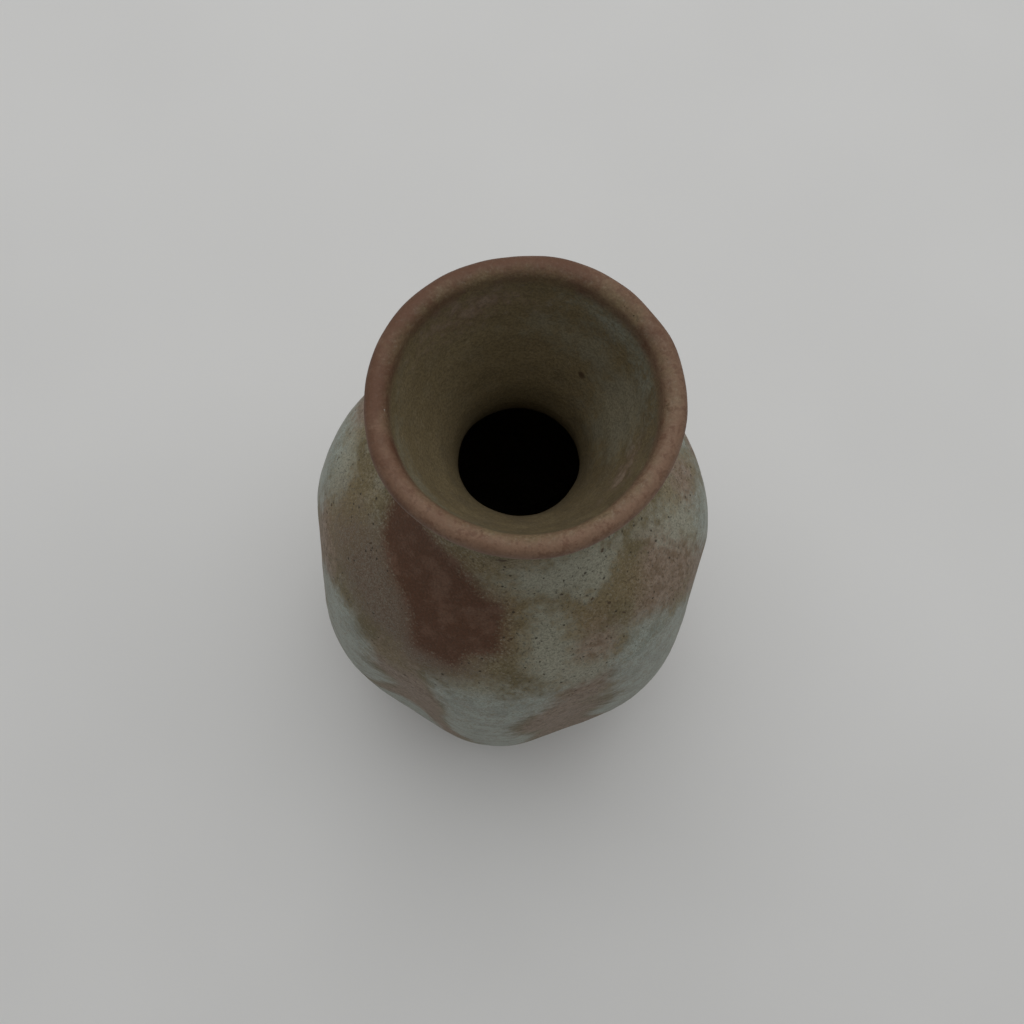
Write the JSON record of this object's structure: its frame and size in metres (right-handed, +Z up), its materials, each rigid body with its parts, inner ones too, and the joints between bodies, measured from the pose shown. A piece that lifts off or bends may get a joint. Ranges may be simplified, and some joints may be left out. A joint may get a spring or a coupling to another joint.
{
  "type": "ceramic bud vase",
  "caption": "Small stoneware bud vase with a softly lobed belly, narrow throat and flared mouth, glazed inside and out, standing on a bare foot ring.",
  "frame": {"origin": "middle of the foot ring, on the surface that the vase stands on", "axes": "+Z up through the throat and mouth; +Y towards the back and +X to the right, with one pressed groove on the line of +Y"},
  "size_m": [0.0714, 0.0709, 0.1335],
  "materials": {
    "bare_stoneware": "unglazed, fine gritty stoneware fired red-brown",
    "outer_glaze": "satin matte glaze, pale blue-green pools breaking to mustard and mauve-brown, dark iron speckle",
    "lip_glaze": "satin matte, thin and broken to red-brown over the lip",
    "mouth_glaze": "satin matte olive with faint blue-green patches",
    "inner_glaze": "satin matte dark olive"
  },
  "bodies": {
    "root": {"stoneware_body": "bare_stoneware", "outer_glaze": "outer_glaze", "lip_glaze": "lip_glaze", "mouth_glaze": "mouth_glaze", "inner_glaze": "inner_glaze"}
  },
  "joints": []
}
